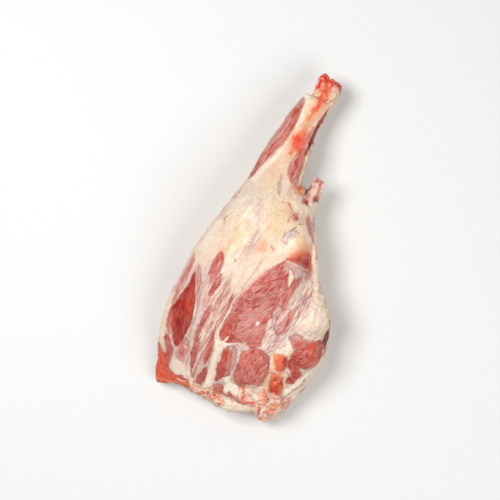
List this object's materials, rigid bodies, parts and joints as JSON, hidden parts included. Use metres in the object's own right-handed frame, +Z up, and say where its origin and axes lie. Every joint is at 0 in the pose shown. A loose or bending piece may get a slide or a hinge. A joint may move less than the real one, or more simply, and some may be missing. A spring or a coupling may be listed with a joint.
{
  "type": "raw leg of lamb",
  "caption": "Raw bone-in leg of lamb lying on its outer side, with a bare shin bone end, a tapering shank and a sawn hip bone edge.",
  "frame": {"origin": "on the surface the leg lies on, under the middle of the leg's box", "axes": "+Y along the leg from the cut hip end to the shank's bare bone, +X towards the back of the leg with the heel tendon, +Z up out of the inner side"},
  "size_m": [0.1893, 0.4, 0.0953],
  "materials": {
    "meat": "moist raw meat with cream fat and thin membranes",
    "bone": "moist bone with gristle and traces of blood",
    "sawn_bone": "sawn, spongy, pink"
  },
  "bodies": {
    "root": {"leg_meat": "meat", "shin_bone": "bone", "hip_bone": "sawn_bone"}
  },
  "joints": []
}
